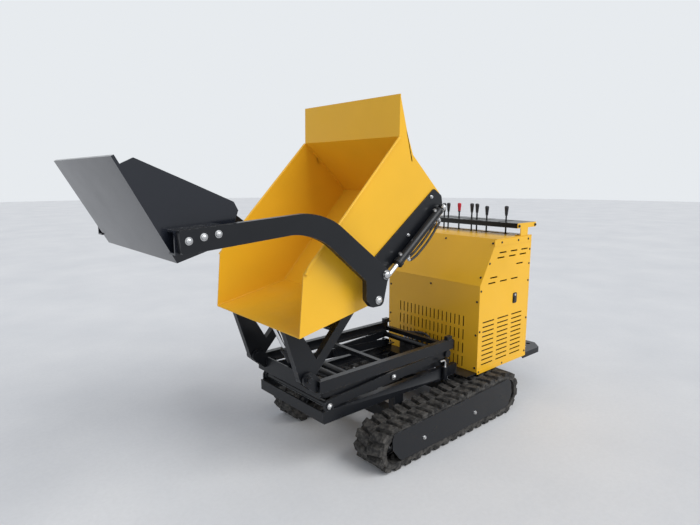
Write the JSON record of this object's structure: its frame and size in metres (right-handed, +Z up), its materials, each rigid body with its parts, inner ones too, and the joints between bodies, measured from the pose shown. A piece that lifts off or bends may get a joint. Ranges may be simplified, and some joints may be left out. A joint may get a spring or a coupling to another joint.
{
  "type": "tracked self-loading mini dumper",
  "caption": "Small rubber-tracked site dumper with a scissor lift under a tipping steel skip, a self-loading shovel on two arms, an engine hood with levers and a folding footboard.",
  "frame": {"origin": "on the ground, below the middle of the machine's bounding box", "axes": "+X towards the shovel, +Y to the left, +Z up"},
  "size_m": [2.6706, 0.898, 1.712],
  "materials": {
    "yellow_paint": "satin yellow paint",
    "black_paint": "satin black paint",
    "shovel_paint": "dark grey paint, a little worn",
    "track_rubber": "matt rubber",
    "cast_metal": "raw casting",
    "rod_chrome": "polished hard chrome",
    "zinc_steel": "zinc plate",
    "knob_plastic": "moulded",
    "hose_rubber": "smooth cover"
  },
  "bodies": {
    "chassis": {"chassis": "black_paint", "left_track_frame": "black_paint", "right_track_frame": "black_paint", "left_track": "track_rubber", "right_track": "track_rubber", "left_idler": "cast_metal", "right_idler": "cast_metal", "left_sprocket": "cast_metal", "right_sprocket": "cast_metal", "left_drive_motor": "cast_metal", "right_drive_motor": "cast_metal", "left_track_cover": "black_paint", "right_track_cover": "black_paint", "left_lock_pin": "rod_chrome", "right_lock_pin": "rod_chrome", "engine": "cast_metal", "hood_front": "yellow_paint", "left_hood_side": "yellow_paint", "right_hood_side": "yellow_paint", "hood_top": "yellow_paint", "hood_rear": "yellow_paint", "control_stand": "cast_metal", "control_levers": "knob_plastic", "lever_gate": "black_paint", "left_gate_bracket": "yellow_paint", "right_gate_bracket": "yellow_paint", "hydraulic_manifold": "zinc_steel"},
    "outer_arms": {"lift_outer_arms": "black_paint"},
    "inner_arms": {"lift_inner_arms": "black_paint"},
    "upper_frame": {"upper_frame": "black_paint"},
    "skip": {"skip": "yellow_paint", "skip_frame": "black_paint", "left_side_plate": "black_paint", "right_side_plate": "black_paint"},
    "arms": {"left_arm": "black_paint", "right_arm": "black_paint", "shovel": "shovel_paint"},
    "footboard": {"footboard": "black_paint"},
    "lift_barrel": {"lift_cylinder_barrel": "black_paint"},
    "lift_rod": {"lift_cylinder_rod": "rod_chrome"},
    "tip_barrel": {"tip_cylinder_barrel": "black_paint"},
    "tip_rod": {"tip_cylinder_rod": "rod_chrome"},
    "left_loader_barrel": {"left_loader_barrel": "black_paint", "left_loader_hose": "hose_rubber"},
    "left_loader_rod": {"left_loader_rod": "rod_chrome"},
    "right_loader_barrel": {"right_loader_barrel": "black_paint", "right_loader_hose": "hose_rubber"},
    "right_loader_rod": {"right_loader_rod": "rod_chrome"}
  },
  "joints": [
    {"name": "lift", "type": "hinge", "parent": "chassis", "child": "outer_arms", "pos_m": [0.45274, 0, 0.342], "axis": [0, 1, 0], "range_deg": [0, 45]},
    {"name": "inner_arm_pivot", "type": "hinge", "parent": "outer_arms", "child": "inner_arms", "pos_m": [0.03145, 0, 0.3665], "axis": [0, 1, 0], "range_deg": [-90, 0]},
    {"name": "platform_pivot", "type": "hinge", "parent": "inner_arms", "child": "upper_frame", "pos_m": [0.45274, 0, 0.391], "axis": [0, 1, 0], "range_deg": [0, 45]},
    {"name": "tip", "type": "hinge", "parent": "upper_frame", "child": "skip", "pos_m": [0.55474, 0, 0.49], "axis": [0, 1, 0], "range_deg": [-47.6, 0]},
    {"name": "loader", "type": "hinge", "parent": "skip", "child": "arms", "pos_m": [0.27332, 0, 0.94397], "axis": [0, 1, 0], "range_deg": [-20, 95]},
    {"name": "footboard_fold", "type": "hinge", "parent": "chassis", "child": "footboard", "pos_m": [-1.06526, 0, 0.24], "axis": [0, 1, 0], "range_deg": [0, 90]},
    {"name": "lift_barrel_pivot", "type": "hinge", "parent": "chassis", "child": "lift_barrel", "pos_m": [-0.32026, 0, 0.29], "axis": [0, 1, 0], "range_deg": [-32.15, 0]},
    {"name": "lift_rod_slide", "type": "slide", "parent": "lift_barrel", "child": "lift_rod", "axis": [0.9969, 0, 0.0785], "range_m": [0, 0.265]},
    {"name": "tip_barrel_pivot", "type": "hinge", "parent": "upper_frame", "child": "tip_barrel", "pos_m": [0.40774, 0, 0.362], "axis": [0, 1, 0], "range_deg": [-26.63, 0]},
    {"name": "tip_rod_slide", "type": "slide", "parent": "tip_barrel", "child": "tip_rod", "axis": [0.4465, 0, 0.8948], "range_m": [-0.094, 0]},
    {"name": "left_loader_barrel_pivot", "type": "hinge", "parent": "skip", "child": "left_loader_barrel", "pos_m": [-0.14419, 0, 1.21138], "axis": [0, 1, 0], "range_deg": [-1.67, 6.07]},
    {"name": "left_loader_rod_slide", "type": "slide", "parent": "left_loader_barrel", "child": "left_loader_rod", "axis": [0.7796, 0, -0.6262], "range_m": [-0.1605, 0.0346]},
    {"name": "right_loader_barrel_pivot", "type": "hinge", "parent": "skip", "child": "right_loader_barrel", "pos_m": [-0.14419, 0, 1.21138], "axis": [0, 1, 0], "range_deg": [-1.67, 6.07]},
    {"name": "right_loader_rod_slide", "type": "slide", "parent": "right_loader_barrel", "child": "right_loader_rod", "axis": [0.7796, 0, -0.6262], "range_m": [-0.1605, 0.0346]}
  ],
  "couplings": [
    {"joint": "inner_arm_pivot", "follows": "lift", "ratio": -2},
    {"joint": "platform_pivot", "follows": "lift", "ratio": 1},
    {"joint": "lift_barrel_pivot", "follows": "lift", "ratio": -0.70337},
    {"joint": "lift_rod_slide", "follows": "lift", "m_per_rad": 0.33616},
    {"joint": "tip_barrel_pivot", "follows": "tip", "ratio": 0.54897},
    {"joint": "tip_rod_slide", "follows": "tip", "m_per_rad": 0.11192},
    {"joint": "left_loader_barrel_pivot", "follows": "loader", "ratio": 0.058629},
    {"joint": "left_loader_rod_slide", "follows": "loader", "m_per_rad": -0.096202},
    {"joint": "right_loader_barrel_pivot", "follows": "loader", "ratio": 0.058629},
    {"joint": "right_loader_rod_slide", "follows": "loader", "m_per_rad": -0.096202}
  ]
}
